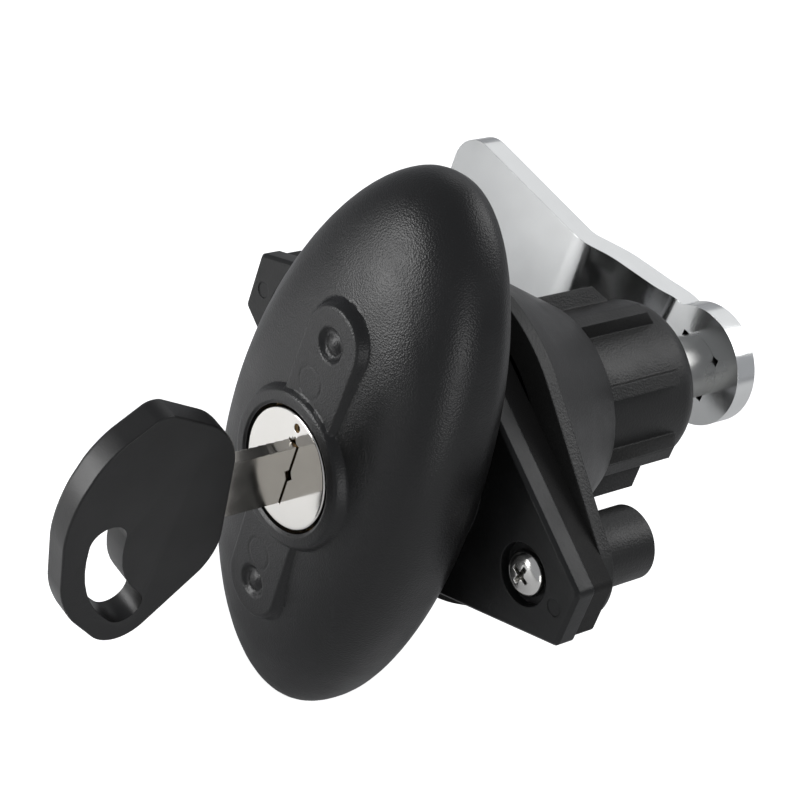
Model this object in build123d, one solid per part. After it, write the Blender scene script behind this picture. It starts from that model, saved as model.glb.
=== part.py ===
from build123d import *
from math import asin, cos, pi, radians, sin
import os

# Oval turn handle lock for a thin door. Millimetres. The lock axis is the Y axis:
# -Y faces the user, +Y goes into the door, +Z runs along the open handle and +X along
# the mounting flange. The origin is on the lock axis, on the door skin's outer face,
# which is the plane between the rubber gasket and the rear housing.

# ---- front flange, gasket and screws -------------------------------------------
flange_half_length = 40.0      # lock axis to the short end of the lozenge
flange_half_height = 24.0      # lock axis to the obtuse corner, before rounding
flange_end_half = 5.0          # half of the short end
flange_thickness = 3.2
flange_corner_r = 14.0         # obtuse corners
flange_end_r = 1.2             # end corners
flange_edge = 0.5              # bevel round the front face
gasket_thickness = 4.0
gasket_inset = 0.4             # the gasket is this much smaller all round
screw_spacing = 60.0
screw_head_r = 3.5
screw_head_height = 2.2
screw_seat_r = 4.7             # counterbore in the flange
screw_seat_depth = 1.6
screw_shank_r = 1.8
screw_reach = 9.5              # how far the screws go into the posts behind the skin
screw_hole_r = 2.3
recess_width = 0.9             # cross recess of a screw head
recess_half = 2.1
recess_depth = 1.3
ejector_r = 1.3                # round moulding marks near the ends of the flange
ejector_x = 37.0
ejector_depth = 0.12

# ---- locking ring and stop groove on the flange ---------------------------------
ring_inner_r = 16.2
ring_outer_r = 18.4
ring_height = 5.8
stop_r = 13.5                  # middle radius of the stop lug's groove
stop_width = 2.6
stop_half_angle = 8.0
stop_depth = 1.7
quarter_turn = 90.0

# ---- rear housing -----------------------------------------------------------------
plate_thickness = 2.1
plate_r = 26.7                 # round middle of the rear plate
plate_lobe_r = 8.6             # rounded ends about the posts
cone_r = 26.4
cone_end_r = 16.2
cone_end_y = 21.1
housing_wall = 4.4
barrel_r = 13.3
barrel_end_y = 43.3
barrel_end_round = 4.0
rib_count = 8
rib_r = 16.1
rib_width = 2.2
rib_end_y = 35.3
rib_first_angle = 44.0
post_r = 5.55
post_end_y = 13.95
post_edge = 0.6
shaft_room_r = 10.5            # hollow of the barrel

# ---- spindle ------------------------------------------------------------------------
shaft_r = 5.2
hub_r = 15.7
hub_thickness = 5.9
hub_gap = 0.4                  # hub to flange face
square_half = 4.0
handle_screw_x = 8.0
handle_screw_z = 9.8
handle_screw_r = 1.4
handle_screw_head_r = 2.5
handle_screw_head = 1.4
handle_screw_reach = 6.5
seal_r = 8.2
seal_section_r = 0.85
bush_r = 6.6
bush_collar_r = 8.4
bush_collar = 1.8
rear_bush_r = 7.1
rear_bush_length = 5.2
washer_r = 8.0
washer_thickness = 0.8
clip_r = 7.3
clip_thickness = 1.0
clip_groove = 0.5
end_recess_r = 8.8

# ---- handle ---------------------------------------------------------------------------
handle_half_width = 22.2
handle_half_length = 47.7
handle_gap = 3.5               # handle's back edge to the flange face
handle_depth = 16.6            # back edge to the crown, without pads and collar
handle_widest = 3.1            # back edge to the widest section
handle_back_tuck = 1.2         # how far the wall turns in at the back edge
across_power = 3.25            # shape of the cross section: 2 is an ellipse, more is squarer
along_power = 2.33             # shape of the long section
handle_wall = 2.3
pad_rise = 0.5                 # raised pads above the crown
pad_half_width = 5.6
pad_lobe_z = 22.3
pad_edge = 0.3
pad_draft = 36.0               # slope of the pad's side walls
dimple_r = 2.4
dimple_depth = 0.9
dimple_bump_r = 1.0
collar_rise = 1.5
collar_inner_r = 9.5
collar_top_r = 10.9
collar_outer_r = 13.9
boss_r = 2.7

# ---- lock cylinder -----------------------------------------------------------------------
face_r = 9.0
face_rise = 0.9                # lock face in front of the crown
face_sheet = 0.35
face_skirt = 1.7
plug_head = 2.7
plug_r = 7.5
cylinder_r = 9.85
wafer_count = 6
wafer_thickness = 0.9
wafer_pitch = 1.55
wafer_half_width = 4.5
plug_clip_r = 8.1
plug_clip_thickness = 0.8
plug_clip_groove = 0.6
ward_z = -0.5                  # notch in the keyway's side
ward_half = 1.0
ward_depth = 0.65
release_hole_r = 0.55
release_hole_z = 7.3
slider_travel = 3.4
slider_thickness = 2.0
slider_half_width = 4.6
slider_tip_half = 3.5
slider_back = 8.0
drive_pin_r = 1.1

# ---- key -----------------------------------------------------------------------------------
blade_thickness = 2.2
blade_top = 4.9
blade_bottom = -5.7
blade_insert = 12.6
blade_neck = 9.9               # blade that shows between lock face and bow
blade_head = 11.0              # blade held inside the bow
blade_groove = 0.55
blade_groove_half = 1.4
bow_thickness = 3.6
bow_edge = 0.7
bow_corners = [(-16.2, 18.4, 3.0), (-2.6, 11.8, 10.8), (0.2, -11.7, 8.2), (-14.1, -26.3, 5.9),
               (-25.2, -14.6, 15.0), (-28.1, 2.4, 19.0), (-23.9, 12.6, 12.0)]
bow_hole_path = [(-20.1, -3.4), (-19.3, -10.2), (-14.2, -17.2)]
bow_hole_r = 2.9

# ---- cam ------------------------------------------------------------------------------------
cam_thickness = 4.0
cam_front_y = 54.6             # front face at the spindle
cam_joggle = 10.8              # how far the tip stands forward of the hub
cam_joggle_angle = 36.0
cam_joggle_start = 10.1
cam_bend_r = 5.0
cam_hub_r = 9.7
cam_waist_half = 7.6
cam_waist_x = 11.0
cam_tip_half = 10.4
cam_shoulder_half = 9.3
cam_shoulder_x = 19.0
cam_tip_x = 50.0
cam_length = 57.5
cam_tip_corner_r = 5.5
cam_washer_r = 6.3
cam_washer_thickness = 0.8
lock_washer_r = 4.8
lock_washer_thickness = 1.0
cam_screw_r = 2.5
cam_screw_length = 12.0
cam_screw_head_r = 4.4
cam_screw_head = 2.2

# ---- fits --------------------------------------------------------------------------------------
running = 0.05                 # radial clearance of a turning fit
loose = 0.1                    # clearance of sliding and placed parts
square_play = 0.25             # clearance of the cam's stamped square hole
free = 0.2                     # clearance round the drive pin

# ---- places that follow from the sizes above ------------------------------------------------
flange_back_y = -gasket_thickness
flange_front_y = flange_back_y - flange_thickness
handle_back_y = flange_front_y - handle_gap
crown_y = handle_back_y - handle_depth
hub_back_y = flange_front_y - hub_gap
hub_front_y = hub_back_y - hub_thickness
face_y = crown_y - face_rise
head_front_y = face_y + face_sheet
head_back_y = head_front_y + plug_head - face_sheet
cylinder_front_y = head_back_y + loose
plug_back_y = hub_front_y - 0.15
blade_tip_y = face_y + blade_insert
keyway_end_y = blade_tip_y + free
bow_front_y = face_y - blade_neck
screw_x = screw_spacing / 2
screw_seat_y = flange_front_y + screw_seat_depth
drive_offset = slider_travel / (2 * sin(radians(quarter_turn / 2)))
cam_back_y = cam_front_y + cam_thickness
washer_back_y = cam_back_y + cam_washer_thickness
keyway_half = blade_thickness / 2 + loose


def slab(sketch, y_front, y_back):
    """Extrude a sketch drawn in X and Z between two planes across the lock axis."""
    plane = Plane(origin=(0, y_back, 0), x_dir=(1, 0, 0), z_dir=(0, -1, 0))
    return extrude(plane * sketch, y_back - y_front)


def disc(radius, y_front, y_back):
    return slab(Circle(radius), y_front, y_back)


def ring(outer, inner, y_front, y_back):
    return disc(outer, y_front, y_back) - disc(inner, y_front - 1, y_back + 1)


def turned(*points):
    """Turn an outline of (radius, y) points about the lock axis."""
    return revolve(make_face(Polyline(*points, close=True)), Axis.Y)


def block(x_low, x_high, y_low, y_high, z_low, z_high):
    box = Box(x_high - x_low, y_high - y_low, z_high - z_low, align=(Align.MIN,) * 3)
    return Pos(x_low, y_low, z_low) * box


def arc_slot(radius, width, y_front, y_back, start, sweep):
    """A length of ring that starts at an angle from +X and turns with the handle."""
    low, high = radius - width / 2, radius + width / 2
    outline = Polyline((low, y_front), (high, y_front), (high, y_back), (low, y_back), close=True)
    return Rot(Y=start) * revolve(make_face(outline), Axis.Y, sweep)


def both_sides(x, shape):
    return Pos(x, 0, 0) * shape + Pos(-x, 0, 0) * shape


# ---- flange side --------------------------------------------------------------------------
def lozenge(inset):
    length, height, end = (v - inset for v in (flange_half_length, flange_half_height, flange_end_half))
    outline = Polygon((length, end), (0, height), (-length, end), (-length, -end), (0, -height),
                      (length, -end), align=None)
    tall = outline.vertices().filter_by(lambda v: abs(v.X) < 1)
    outline = fillet(tall, flange_corner_r)
    return fillet(outline.vertices().filter_by(lambda v: abs(v.X) > length - 1), flange_end_r)


def front_flange():
    plate = slab(lozenge(0), flange_front_y, flange_back_y)
    rim = plate.faces().sort_by(Axis.Y)[0].outer_wire().edges()
    plate = chamfer(rim, flange_edge)
    plate += ring(ring_outer_r, ring_inner_r, flange_front_y - ring_height, flange_front_y)
    plate -= disc(bush_r + running, flange_front_y - 1, flange_back_y + 1)
    plate -= both_sides(screw_x, disc(screw_hole_r, flange_front_y - 1, flange_back_y + 1))
    plate -= both_sides(screw_x, disc(screw_seat_r, flange_front_y - 1, screw_seat_y))
    plate -= both_sides(ejector_x, disc(ejector_r, flange_front_y - 1, flange_front_y + ejector_depth))
    lug = stop_half_angle + 0.6
    plate -= arc_slot(stop_r, stop_width + 4 * loose, flange_front_y - 1, flange_front_y + stop_depth,
                      -lug, quarter_turn + 2 * lug)
    notch_half = slider_tip_half + 3 * loose
    notch = block(ring_inner_r - 2, ring_outer_r + 2, flange_front_y - ring_height - 1,
                  hub_front_y + slider_thickness + 3 * loose, -notch_half, notch_half)
    return plate - notch - Rot(Y=quarter_turn) * notch


def gasket():
    sheet = slab(lozenge(gasket_inset), flange_back_y, 0)
    sheet -= disc(bush_collar_r + free, flange_back_y - 1, 1)
    return sheet - both_sides(screw_x, disc(screw_hole_r, flange_back_y - 1, 1))


def mounting_screw():
    head_front = screw_seat_y - screw_head_height
    head = disc(screw_head_r, head_front, screw_seat_y)
    head = fillet(head.faces().sort_by(Axis.Y)[0].edges(), 1.3)
    for turn in (0, 90):
        bar = block(-recess_half, recess_half, head_front - 1, head_front + recess_depth,
                    -recess_width / 2, recess_width / 2)
        head -= Rot(Y=turn + 20) * bar
    shank = disc(screw_shank_r, screw_seat_y, screw_reach)
    return head + chamfer(shank.faces().sort_by(Axis.Y)[-1].edges(), 0.8)


# ---- rear housing ---------------------------------------------------------------------------
def plate_outline():
    """Round plate with a lobe about each post, joined by the tangents of the circles."""
    lean = asin((plate_r - plate_lobe_r) / screw_x)
    across, along = sin(lean), cos(lean)
    corners = [(screw_x + plate_lobe_r * across, plate_lobe_r * along), (plate_r * across, plate_r * along)]
    corners += [(-x, z) for x, z in reversed(corners)]
    corners += [(x, -z) for x, z in reversed(corners)]
    lobe = Circle(plate_lobe_r)
    return Polygon(*corners, align=None) + Circle(plate_r) + Pos(screw_x, 0) * lobe + Pos(-screw_x, 0) * lobe


def barrel_rib(angle):
    """One stiffening rib, sloped down to the barrel at its far end."""
    slope = rib_r - barrel_r
    outline = Polyline((barrel_r - 1, cone_end_y - 2), (rib_r, cone_end_y - 2), (rib_r, rib_end_y),
                       (barrel_r, rib_end_y + slope), (barrel_r - 1, rib_end_y + slope), close=True)
    blade = extrude(make_face(outline), rib_width / 2, both=True)
    return Rot(Y=-angle) * blade


def rear_housing():
    body = slab(plate_outline(), 0, plate_thickness)
    body += turned((0, 0), (cone_r, 0), (cone_r, plate_thickness), (cone_end_r, cone_end_y),
                   (0, cone_end_y))
    barrel = disc(barrel_r, cone_end_y - 2, barrel_end_y)
    barrel = fillet(barrel.faces().sort_by(Axis.Y)[-1].edges(), barrel_end_round)
    for number in range(rib_count):
        barrel += barrel_rib(rib_first_angle + number * 360 / rib_count)
    body += barrel
    post = disc(post_r, plate_thickness / 2, post_end_y)
    post = chamfer(post.faces().sort_by(Axis.Y)[-1].edges(), post_edge)
    body += both_sides(screw_x, post)
    room_r = cone_r - housing_wall
    end_wall_y = barrel_end_y - washer_thickness - clip_thickness - rear_bush_length - loose
    body -= turned((0, -1), (room_r, -1), (room_r, 0), (shaft_room_r, cone_end_y + 1),
                   (shaft_room_r, end_wall_y), (0, end_wall_y))
    body -= disc(rear_bush_r + running, end_wall_y - 1, barrel_end_y + 1)
    body -= disc(end_recess_r, barrel_end_y - washer_thickness - clip_thickness - loose, barrel_end_y + 1)
    return body - both_sides(screw_x, disc(screw_shank_r + running, -1, screw_reach + 1))


def front_bush():
    sleeve = disc(bush_r, flange_front_y + loose, flange_back_y)
    sleeve += disc(bush_collar_r, flange_back_y, flange_back_y + bush_collar)
    return sleeve - disc(shaft_r + running, flange_front_y - 1, 1)


def rear_bush():
    back = barrel_end_y - washer_thickness - clip_thickness - loose
    front = back - rear_bush_length
    sleeve = disc(rear_bush_r, front - bush_collar, back) + disc(bush_collar_r, front - bush_collar, front)
    return sleeve - disc(shaft_r + running, front - 9, back + 1)


# ---- spindle, with the hub that carries the handle ---------------------------------------------
def four_corners(shape):
    places = [Pos(x, 0, z) for x in (-handle_screw_x, handle_screw_x)
              for z in (-handle_screw_z, handle_screw_z)]
    return [place * shape for place in places]


def spindle():
    body = disc(hub_r, hub_front_y, hub_back_y)
    body = chamfer(body.faces().sort_by(Axis.Y)[0].edges(), 0.4)
    body += disc(shaft_r, hub_back_y, cam_front_y)
    body += slab(Rectangle(2 * square_half, 2 * square_half) & Circle(shaft_r), cam_front_y,
                 cam_back_y - loose)
    body -= disc(cam_screw_r + running, washer_back_y - cam_screw_length - 0.5, cam_back_y + 1)
    body += arc_slot(stop_r, stop_width, hub_back_y - 0.5, flange_front_y + stop_depth - 3 * loose,
                     -stop_half_angle, 2 * stop_half_angle)
    channel_half = slider_half_width + loose
    body -= block(-slider_back - 2 * loose, hub_r + 1, hub_front_y - 1,
                  hub_front_y + slider_thickness + 2 * loose, -channel_half, channel_half)
    body -= ring(seal_r + seal_section_r + loose, seal_r - seal_section_r - loose,
                 hub_back_y - 1.4, hub_back_y + 1)
    for hole in four_corners(disc(handle_screw_r + running, hub_front_y - 1, hub_back_y + 1)):
        body -= hole
    for seat in four_corners(disc(handle_screw_head_r + loose, hub_back_y - handle_screw_head - free,
                                  hub_back_y + 1)):
        body -= seat
    groove_back = barrel_end_y
    body -= ring(shaft_r + 1, shaft_r - clip_groove, groove_back - clip_thickness, groove_back)
    return body


def handle_screws():
    seat = hub_back_y - handle_screw_head - free
    screw = disc(handle_screw_head_r, seat, seat + handle_screw_head)
    screw = fillet(screw.faces().sort_by(Axis.Y)[-1].edges(), 0.6)
    screw -= block(-1.5, 1.5, seat + handle_screw_head - 0.7, hub_back_y + 1, -0.3, 0.3)
    screw -= block(-0.3, 0.3, seat + handle_screw_head - 0.7, hub_back_y + 1, -1.5, 1.5)
    screw += disc(handle_screw_r, hub_front_y - handle_screw_reach, seat)
    return four_corners(screw)


def spindle_seal():
    centre = flange_front_y - seal_section_r - running
    section = Pos(seal_r, centre) * Circle(seal_section_r)
    return revolve(section, Axis.Y)


def open_ring(outer, inner, y_front, y_back, gap):
    """A retaining ring with a gap towards +X."""
    slot = block(0, outer + 1, y_front - 1, y_back + 1, -gap / 2, gap / 2)
    return ring(outer, inner, y_front, y_back) - slot


def thrust_washer():
    back = barrel_end_y - clip_thickness - running
    return ring(washer_r, shaft_r + loose, back - washer_thickness, back)


# ---- handle ---------------------------------------------------------------------------------------
def dome(half_width, half_length, front_y, back_y):
    """Half of a squared egg: ellipses lofted from the crown to the widest plane and the back edge."""
    wide_y = handle_back_y - handle_widest
    sections = []
    for height in (0.985, 0.93, 0.83, 0.68, 0.48, 0.24, 0):
        across = half_width * (1 - height ** across_power) ** (1 / across_power)
        along = half_length * (1 - height ** along_power) ** (1 / along_power)
        sections.append((across, along, wide_y + (front_y - wide_y) * height))
    sections.append((half_width - handle_back_tuck, half_length - handle_back_tuck, back_y))
    return loft([Plane(origin=(0, y, 0), x_dir=(1, 0, 0), z_dir=(0, -1, 0)) * Ellipse(across, along)
                 for across, along, y in sections])


def pad_outline():
    """Raised pad: straight sides that run in under the collar and a round end."""
    sides = Pos(0, pad_lobe_z / 2) * Rectangle(2 * pad_half_width, pad_lobe_z)
    return sides + Pos(0, pad_lobe_z) * Circle(pad_half_width)


def handle_shell():
    outer = dome(handle_half_width, handle_half_length, crown_y, handle_back_y)
    top = Plane(origin=(0, crown_y - pad_rise, 0), x_dir=(1, 0, 0), z_dir=(0, -1, 0))
    pad = extrude(top * pad_outline(), -3.2, taper=-pad_draft)
    pad = chamfer(pad.faces().sort_by(Axis.Y)[0].edges(), pad_edge)
    outer += pad + Rot(Y=180) * pad
    collar_y = crown_y - collar_rise
    side = ThreePointArc((collar_top_r, collar_y), (collar_outer_r - 1.0, collar_y + 0.75),
                         (collar_outer_r, crown_y + 0.6))
    rest = Polyline((collar_outer_r, crown_y + 0.6), (collar_outer_r, crown_y + 2), (0, crown_y + 2),
                    (0, collar_y), (collar_top_r, collar_y))
    outer += revolve(make_face([*side.edges(), *rest.edges()]), Axis.Y)
    dimple_ball_r = (dimple_r ** 2 + dimple_depth ** 2) / (2 * dimple_depth)
    for side_z in (-pad_lobe_z, pad_lobe_z):
        outer -= Pos(0, crown_y - pad_rise - dimple_ball_r + dimple_depth, side_z) * Sphere(dimple_ball_r)
        outer += Pos(0, crown_y - pad_rise + dimple_depth, side_z) * Sphere(dimple_bump_r)
    hollow = dome(handle_half_width - handle_wall, handle_half_length - handle_wall,
                  crown_y + handle_wall, handle_back_y + 1)
    tube = disc(cylinder_r + loose + 2, crown_y + 1, hub_front_y - running)
    for boss in four_corners(disc(boss_r, crown_y + 1, hub_front_y - running)):
        tube += boss
    shell = outer - hollow + tube
    shell -= disc(collar_inner_r, crown_y - 5, hub_front_y + 1)
    shell -= disc(cylinder_r + loose, cylinder_front_y, hub_front_y + 1)
    for hole in four_corners(disc(handle_screw_r + running, hub_front_y - handle_screw_reach - 0.5,
                                  hub_front_y + 1)):
        shell -= hole
    return shell


# ---- lock cylinder ------------------------------------------------------------------------------------
def keyway(y_front, y_back):
    """Slot for the blade, with a ward's notch in one side."""
    notch = Polygon((keyway_half - loose, ward_z - ward_half), (keyway_half + ward_depth, ward_z),
                    (keyway_half - loose, ward_z + ward_half), align=None)
    slot = block(-keyway_half, keyway_half, y_front, y_back, blade_bottom - loose, blade_top + loose)
    return slot + slab(notch, y_front, y_back)


def cylinder_housing():
    body = disc(cylinder_r, cylinder_front_y, hub_front_y)
    body -= disc(plug_r + running, cylinder_front_y - 1, hub_front_y + 1)
    return body - disc(plug_clip_r + free, hub_front_y - plug_clip_thickness - 4 * loose, hub_front_y + 1)


def wafer_places():
    first = cylinder_front_y + 0.8
    return [first + number * wafer_pitch for number in range(wafer_count)]


def clip_place():
    return hub_front_y - plug_clip_thickness - 2 * loose


def lock_plug():
    body = disc(face_r - face_sheet, head_front_y, head_back_y)
    body += disc(plug_r, head_back_y, plug_back_y)
    body -= keyway(face_y - 1, keyway_end_y)
    body -= disc(release_hole_r, -2, 2).moved(Location((0, head_front_y, release_hole_z)))
    half = wafer_half_width + loose
    for place in wafer_places():
        body -= block(-half, half, place, place + wafer_thickness + loose, -plug_r - 1, plug_r + 1)
    body -= ring(plug_r + 1, plug_r - plug_clip_groove, clip_place(), clip_place() + plug_clip_thickness)
    lead = radians(quarter_turn / 2)
    pin = disc(drive_pin_r, plug_back_y - 0.5, hub_front_y + slider_thickness)
    return body + Pos(-drive_offset * sin(lead), 0, drive_offset * cos(lead)) * pin


def plug_face():
    cap = disc(face_r, face_y, head_front_y + face_skirt)
    cap = fillet(cap.faces().sort_by(Axis.Y)[0].edges(), 0.25)
    cap -= disc(face_r - face_sheet, head_front_y, head_front_y + face_skirt + 1)
    cap -= Pos(0, 0, release_hole_z) * disc(release_hole_r, face_y - 1, head_front_y + 1)
    return cap - keyway(face_y - 1, head_front_y + 1)


def wafers():
    window = keyway(-plug_r * 9, plug_r * 9)
    plate = disc(plug_r - loose, 0, wafer_thickness) & block(
        -wafer_half_width, wafer_half_width, -1, wafer_thickness + 1, -plug_r, plug_r)
    return [Pos(0, place + loose / 2, 0) * (plate - window) for place in wafer_places()]


def plug_clip():
    front = clip_place()
    return open_ring(plug_clip_r, plug_r - plug_clip_groove, front, front + plug_clip_thickness, 6)


def lock_slider():
    front = hub_front_y + loose
    back = front + slider_thickness
    tip = hub_r - loose
    body = block(-slider_back, tip - 4, front, back, -slider_half_width, slider_half_width)
    body += block(0, tip, front, back, -slider_tip_half, slider_tip_half)
    lead = radians(quarter_turn / 2)
    pin_x = -drive_offset * sin(lead)
    slot_half = drive_pin_r + free
    slot = block(pin_x - slot_half, pin_x + slot_half, front - 1, back + 1,
                 drive_offset * cos(lead) - slot_half, drive_offset + slot_half)
    return body - slot


# ---- key ------------------------------------------------------------------------------------------------
def key_blade():
    half = blade_thickness / 2
    start = bow_front_y - blade_head
    blade = block(-half, half, start, blade_tip_y, blade_bottom, blade_top)
    tip = blade.edges().filter_by(Axis.X).sort_by(Axis.Y)[-2:]
    blade = chamfer(tip, 1.6)
    groove = Polygon((half - blade_groove, 0), (half + 0.1, blade_groove_half),
                     (half + 0.1, -blade_groove_half),
                     align=None)
    blade -= slab(groove, bow_front_y, blade_tip_y + 1)
    bite = Polyline((0, blade_top - 0.35), (0.8, blade_top + 0.1), (-0.8, blade_top + 0.1), close=True)
    cutter = extrude(Plane.YZ * make_face(bite), half + 1, both=True)
    for place in wafer_places():
        blade -= Pos(0, place + wafer_thickness / 2, 0) * cutter
    return blade - Pos(0, start + 3, 0) * block(-9, 9, -1.5, 1.5, -1.5, 1.5)


def bow_outline():
    corners = [Vector(bow_front_y + along, height) for along, height, _ in bow_corners]
    outline = Polygon(*corners, align=None)
    for (along, height, radius) in bow_corners:
        place = Vector(bow_front_y + along, height)
        corner = outline.vertices().sort_by(lambda v: (Vector(v.X, v.Y) - place).length)[0]
        outline = fillet(corner, radius)
    return outline


def key_bow():
    half = bow_thickness / 2
    body = extrude(Plane.YZ * bow_outline(), half, both=True)
    body = fillet(body.edges().filter_by(lambda e: abs(abs(e.center().X) - half) < 0.01), bow_edge)
    places = [(bow_front_y + along, height) for along, height in bow_hole_path]
    path = ThreePointArc(*places)
    ends = Pos(*places[0]) * Circle(bow_hole_r) + Pos(*places[-1]) * Circle(bow_hole_r)
    hole = trace(path, 2 * bow_hole_r) + ends
    body -= extrude(Plane.YZ * hole, half + 1, both=True)
    start = bow_front_y - blade_head
    half = blade_thickness / 2
    pocket = block(-half, half, start, bow_front_y + 9, blade_bottom, blade_top)
    rivet = Pos(0, start + 3, 0) * block(-9, 9, -1.5, 1.5, -1.5, 1.5)
    return body - (pocket - rivet)


# ---- cam --------------------------------------------------------------------------------------------------
def cam():
    """A strap with a joggle: its side profile, cut to its outline and square hole."""
    slope = radians(cam_joggle_angle)
    run = cam_joggle / sin(slope) * cos(slope)
    mid_hub = cam_front_y + cam_thickness / 2
    mid_tip = mid_hub - cam_joggle
    line = FilletPolyline((cam_hub_r + 1, mid_hub), (-cam_joggle_start, mid_hub),
                          (-cam_joggle_start - run, mid_tip), (-cam_length - 1, mid_tip), radius=cam_bend_r)
    strap = extrude(trace(line, cam_thickness), 2 * cam_tip_half, both=True)
    side = [(0, cam_waist_half), (-cam_waist_x, cam_waist_half), (-cam_shoulder_x, cam_shoulder_half),
            (-cam_tip_x, cam_tip_half), (-cam_length, cam_tip_half)]
    outline = Polygon(*side, *[(x, -z) for x, z in reversed(side)], align=None)
    corners = outline.vertices().filter_by(lambda v: v.X < -cam_length + 0.1)
    outline = fillet(corners, cam_tip_corner_r)
    bends = outline.vertices().filter_by(lambda v: -cam_shoulder_x - 0.1 < v.X < -cam_waist_x + 0.1)
    outline = fillet(bends, 2 * cam_waist_half) + Circle(cam_hub_r)
    necks = outline.vertices().filter_by(lambda v: -cam_waist_x + 2 < v.X < -2)
    outline = fillet(necks, cam_waist_half)
    plate = strap & slab(outline, 0, cam_back_y + 5)
    hole = 2 * (square_half + square_play)
    return plate - slab(Rectangle(hole, hole), cam_front_y - 1, cam_back_y + 1)


def cam_screw():
    seat = washer_back_y + lock_washer_thickness
    head = disc(cam_screw_head_r, seat, seat + cam_screw_head)
    head = fillet(head.faces().sort_by(Axis.Y)[-1].edges(), 1.2)
    for turn in (0, 90):
        bar = block(-recess_half, recess_half, seat + cam_screw_head - recess_depth,
                    seat + cam_screw_head + 1, -recess_width / 2, recess_width / 2)
        head -= Rot(Y=turn + 35) * bar
    return head + disc(cam_screw_r, washer_back_y - cam_screw_length, seat)


circlip_front_y = barrel_end_y - clip_thickness

pieces = {
    "front_flange": front_flange(),
    "gasket": gasket(),
    "rear_housing": rear_housing(),
    "mounting_screws": [Pos(screw_x, 0, 0) * mounting_screw(), Pos(-screw_x, 0, 0) * mounting_screw()],
    "front_bush": front_bush(),
    "rear_bush": rear_bush(),
    "thrust_washer": thrust_washer(),
    "spindle": spindle(),
    "spindle_seal": spindle_seal(),
    "spindle_circlip": open_ring(clip_r, shaft_r - clip_groove, circlip_front_y, barrel_end_y, 5),
    "handle_shell": handle_shell(),
    "handle_screws": handle_screws(),
    "cylinder_housing": cylinder_housing(),
    "lock_plug": lock_plug(),
    "plug_face": plug_face(),
    "wafers": wafers(),
    "plug_clip": plug_clip(),
    "lock_slider": lock_slider(),
    "key_blade": key_blade(),
    "key_bow": key_bow(),
    "cam": cam(),
    "cam_washer": ring(cam_washer_r, cam_screw_r + loose, cam_back_y, washer_back_y),
    "lock_washer": open_ring(lock_washer_r, cam_screw_r + loose, washer_back_y,
                             washer_back_y + lock_washer_thickness, 1),
    "cam_screw": cam_screw(),
}

os.makedirs("parts", exist_ok=True)
for name, piece in pieces.items():
    solids = piece if isinstance(piece, list) else [piece]
    export_step(Compound(children=[s for p in solids for s in p.solids()]), f"parts/{name}.step")
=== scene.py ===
import bpy
import bmesh
import math
from mathutils import Matrix, Vector


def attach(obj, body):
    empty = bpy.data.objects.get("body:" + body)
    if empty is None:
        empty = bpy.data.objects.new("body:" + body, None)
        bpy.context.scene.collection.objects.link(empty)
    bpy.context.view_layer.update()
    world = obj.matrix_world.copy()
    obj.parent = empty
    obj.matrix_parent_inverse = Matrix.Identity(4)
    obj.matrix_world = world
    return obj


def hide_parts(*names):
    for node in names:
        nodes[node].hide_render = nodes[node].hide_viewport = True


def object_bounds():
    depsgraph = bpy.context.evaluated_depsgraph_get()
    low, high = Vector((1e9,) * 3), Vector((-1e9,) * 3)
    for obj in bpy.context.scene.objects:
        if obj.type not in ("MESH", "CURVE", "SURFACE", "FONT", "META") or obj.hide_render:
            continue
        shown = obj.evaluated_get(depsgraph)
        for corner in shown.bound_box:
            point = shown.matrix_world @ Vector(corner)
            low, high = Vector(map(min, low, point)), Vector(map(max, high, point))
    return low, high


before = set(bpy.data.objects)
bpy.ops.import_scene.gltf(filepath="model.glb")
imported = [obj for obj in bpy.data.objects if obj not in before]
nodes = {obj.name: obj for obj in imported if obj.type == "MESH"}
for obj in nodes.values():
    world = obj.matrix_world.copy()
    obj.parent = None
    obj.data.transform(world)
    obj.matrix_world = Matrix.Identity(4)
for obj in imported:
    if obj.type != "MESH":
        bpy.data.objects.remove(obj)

cad_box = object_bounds()
scene = bpy.context.scene
mm = 0.001

# ---- Camera ----------------------------------------------------------------------------
# It looks down on the key side from the right and is rolled, so that the upright
# handle leans over in the view.
view_azimuth, view_elevation, view_roll = 41.37, 35.67, 19.97
camera_place = Vector((0.17896, -0.21338, 0.20269))
camera_data = bpy.data.cameras.new("camera")
camera_data.sensor_width = 36
camera_data.lens = 104.26
camera = bpy.data.objects.new("camera", camera_data)
scene.collection.objects.link(camera)
turn = (Matrix.Rotation(math.radians(view_azimuth), 4, "Z")
        @ Matrix.Rotation(math.radians(90 - view_elevation), 4, "X")
        @ Matrix.Rotation(math.radians(view_roll), 4, "Z"))
camera.matrix_world = Matrix.Translation(camera_place) @ turn
camera_data.clip_start, camera_data.clip_end = 0.01, 10
scene.camera = camera

# ---- Lamps, sky and floor --------------------------------------------------------------
# Soft lamps stand round the lock. Sky and floor look white behind it, while surfaces mirror
# a dimmer sky, like the dark half of a studio, so that satin black stays black.


def fresh_tree(material):
    """The material's or world's nodes, emptied."""
    material.use_nodes = True
    tree = material.node_tree
    tree.nodes.clear()
    return tree


def add(tree, kind, **values):
    """A node with its properties set."""
    node = tree.nodes.new(kind)
    for name, value in values.items():
        setattr(node, name, value)
    return node


def shining(tree, kind, colour, strength):
    """A node that gives off light."""
    node = add(tree, kind)
    node.inputs["Color"].default_value = colour
    node.inputs["Strength"].default_value = strength
    return node


def softbox(name, place, width, height, watts):
    """A square of light at a place, aimed at the lock."""
    light = bpy.data.lights.new(name, "AREA")
    light.shape = "RECTANGLE"
    light.size, light.size_y = width, height
    light.energy = watts
    lamp = bpy.data.objects.new(name, light)
    scene.collection.objects.link(lamp)
    lamp.location = place
    lamp.rotation_mode = "QUATERNION"
    lamp.rotation_quaternion = (-Vector(place)).to_track_quat("-Z", "Y")


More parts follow.
